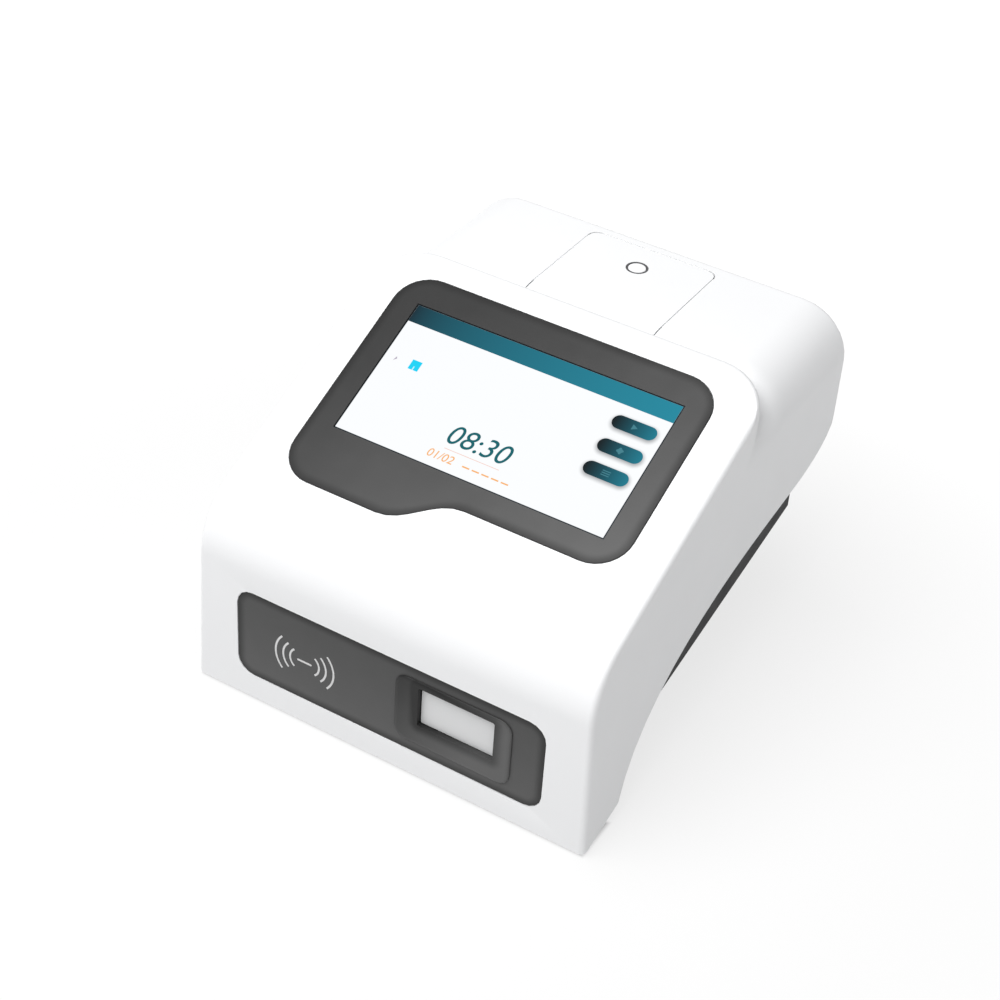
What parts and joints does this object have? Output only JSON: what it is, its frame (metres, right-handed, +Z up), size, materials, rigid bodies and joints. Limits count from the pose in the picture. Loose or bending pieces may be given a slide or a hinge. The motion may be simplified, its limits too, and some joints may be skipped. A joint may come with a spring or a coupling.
{
  "type": "dry chemistry analyzer",
  "caption": "Bench dry chemistry analyzer with a sloping touch screen, a motor-driven card drawer in its dark front fascia and a latched lid over a drop-in paper printer.",
  "frame": {"origin": "on the table under the middle of the outline seen from above", "axes": "+X to the right seen from the front, +Y towards the back, +Z up"},
  "size_m": [0.231, 0.2602, 0.1831],
  "materials": {
    "cover_white": "satin moulded",
    "button_white": "satin moulded",
    "ring_dark": "satin moulded",
    "tub_black": "fine moulded grain",
    "foot_rubber": "matt",
    "screw_steel": "zinc plated",
    "bezel_charcoal": "semi-gloss",
    "screen_glass": "clear, lit from behind",
    "display_module": "metal-framed display module",
    "sheet_aluminium": "folded sheet",
    "fascia_charcoal": "satin",
    "surround_charcoal": "satin moulded",
    "board_green": "solder-masked board",
    "tray_grey": "satin moulded",
    "shaft_steel": "ground",
    "gear_nylon": "natural nylon",
    "motor_steel": "drawn can",
    "block_aluminium": "milled",
    "optics_black": "dull black",
    "speaker_black": "paper cone in a plastic frame",
    "latch_steel": "stamped",
    "bay_charcoal": "moulded",
    "chassis_steel": "folded sheet",
    "pinion_brass": "cut",
    "platen_rubber": "ground rubber",
    "head_aluminium": "machined",
    "tear_steel": "stamped teeth",
    "paper_white": "white printing paper",
    "core_card": "brown card tube",
    "panel_charcoal": "satin",
    "switch_black": "moulded",
    "rocker_black": "moulded",
    "jack_black": "moulded",
    "socket_steel": "nickel-plated shell"
  },
  "bodies": {
    "housing": {"upper_cover": "cover_white", "base_tray": "tub_black", "rubber_foot_1": "foot_rubber", "rubber_foot_2": "foot_rubber", "rubber_foot_3": "foot_rubber", "rubber_foot_4": "foot_rubber", "cover_screw_front_1": "screw_steel", "cover_screw_front_2": "screw_steel", "cover_screw_rear_1": "screw_steel", "cover_screw_rear_2": "screw_steel", "screen_bezel": "bezel_charcoal", "touch_glass": "screen_glass", "lcd_panel": "display_module", "lcd_bracket": "sheet_aluminium", "front_fascia": "fascia_charcoal", "slot_surround": "surround_charcoal", "reader_board": "board_green", "tray_rail_left": "shaft_steel", "tray_rail_right": "shaft_steel", "tray_motor": "motor_steel", "mech_frame": "sheet_aluminium", "heater_block": "block_aluminium", "optical_head": "optics_black", "main_board": "board_green", "speaker": "speaker_black", "hinge_pin": "shaft_steel", "printer_bay": "bay_charcoal", "printer_chassis": "chassis_steel", "printer_motor": "motor_steel", "print_head": "head_aluminium", "tear_bar": "tear_steel", "rear_panel": "panel_charcoal", "switch_housing": "switch_black", "dc_jack": "jack_black", "usb_port": "socket_steel", "lan_port": "socket_steel"},
    "drawer": {"card_tray": "tray_grey"},
    "drawer_pinion": {"tray_pinion": "gear_nylon"},
    "lid": {"printer_lid": "cover_white", "button_ring": "ring_dark"},
    "release_button": {"lid_button": "button_white"},
    "latch": {"latch_bar": "latch_steel"},
    "platen": {"platen_roller": "platen_rubber", "platen_gear": "gear_nylon"},
    "idler": {"idler_gear": "gear_nylon"},
    "printer_pinion": {"motor_pinion": "pinion_brass"},
    "paper": {"paper_roll": "paper_white", "paper_core": "core_card"},
    "rocker": {"power_switch": "rocker_black"}
  },
  "joints": [
    {"name": "drawer_slide", "type": "slide", "parent": "housing", "child": "drawer", "axis": [0, -1, 0], "range_m": [0, 0.06]},
    {"name": "drawer_pinion_spin", "type": "hinge", "parent": "housing", "child": "drawer_pinion", "pos_m": [0.01525, -0.09758, 0.0458], "axis": [0, 0, -1], "range_deg": [0, 492]},
    {"name": "lid_hinge", "type": "hinge", "parent": "housing", "child": "lid", "pos_m": [0, 0.04847, 0.1693], "axis": [1, 0, 0], "range_deg": [0, 80]},
    {"name": "button_press", "type": "slide", "parent": "lid", "child": "release_button", "axis": [0, 0, -1], "range_m": [0, 0.0015], "stiffness_N_per_m": 400},
    {"name": "latch_slide", "type": "slide", "parent": "lid", "child": "latch", "axis": [1, 0, 0], "range_m": [0, 0.0015]},
    {"name": "platen_spin", "type": "hinge", "parent": "lid", "child": "platen", "pos_m": [0, 0.1115, 0.1669], "axis": [1, 0, 0], "continuous": true},
    {"name": "idler_spin", "type": "hinge", "parent": "housing", "child": "idler", "pos_m": [0.0313, 0.1095, 0.15507], "axis": [1, 0, 0], "continuous": true},
    {"name": "printer_pinion_spin", "type": "hinge", "parent": "housing", "child": "printer_pinion", "pos_m": [0.0313, 0.116, 0.14721], "axis": [1, 0, 0], "continuous": true},
    {"name": "paper_spin", "type": "hinge", "parent": "housing", "child": "paper", "pos_m": [0, 0.07677, 0.1503], "axis": [1, 0, 0], "continuous": true},
    {"name": "power_rocker", "type": "hinge", "parent": "housing", "child": "rocker", "pos_m": [0.036, 0.1156, 0.028], "axis": [1, 0, 0], "range_deg": [0, 18]}
  ],
  "couplings": [
    {"joint": "drawer_pinion_spin", "follows": "drawer_slide", "rad_per_m": 142.86},
    {"joint": "latch_slide", "follows": "button_press", "ratio": 1},
    {"joint": "idler_spin", "follows": "platen_spin", "ratio": -0.66667},
    {"joint": "printer_pinion_spin", "follows": "platen_spin", "ratio": 1.6},
    {"joint": "paper_spin", "follows": "platen_spin", "ratio": -0.225}
  ]
}
